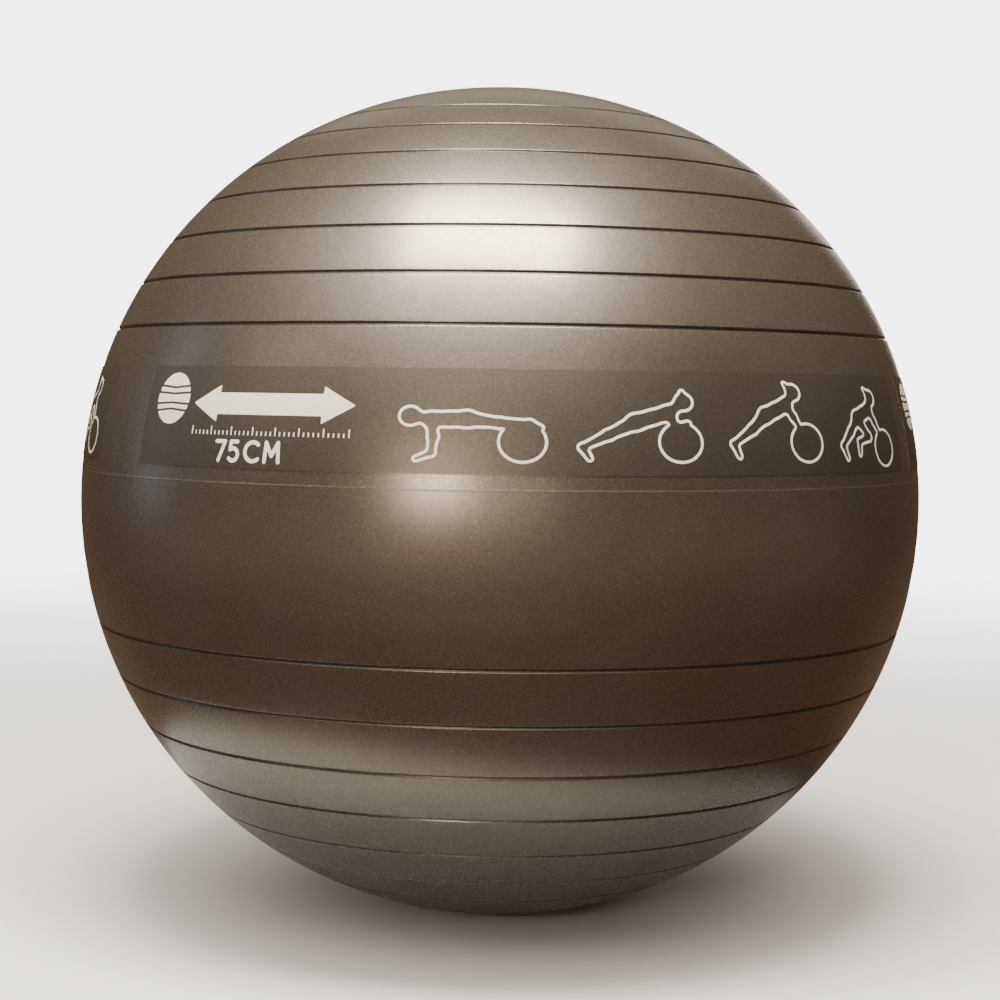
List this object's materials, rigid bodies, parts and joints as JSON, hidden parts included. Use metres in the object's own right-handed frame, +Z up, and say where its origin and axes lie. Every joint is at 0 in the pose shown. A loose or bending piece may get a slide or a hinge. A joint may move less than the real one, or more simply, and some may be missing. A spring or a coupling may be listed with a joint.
{
  "type": "exercise ball",
  "caption": "Inflatable exercise ball: a hollow soft skin with recessed grip rings above and below a smooth printed band, and a push-in air plug at the back.",
  "frame": {"origin": "on the floor, at the middle of the flat patch that the ball rests on, straight under its centre", "axes": "+Z up through both poles; -Y is the front, where the front print panel faces; the air valve opens along +Y at the back; +X is to the right when the front is faced"},
  "size_m": [0.7499, 0.7497, 0.7369],
  "materials": {
    "skin": "satin",
    "print_film": "satin",
    "print_ink": "satin",
    "valve_rubber": "satin",
    "plug_plastic": "satin"
  },
  "bodies": {
    "ball": {"ball_shell": "skin", "print_panel_front": "print_film", "print_panel_left": "print_film", "print_panel_right": "print_film", "valve_seat": "valve_rubber"},
    "plug": {"valve_plug": "plug_plastic"}
  },
  "joints": [
    {"name": "plug_pull", "type": "slide", "parent": "ball", "child": "plug", "axis": [0, 1, 0], "range_m": [0, 0.03]}
  ]
}
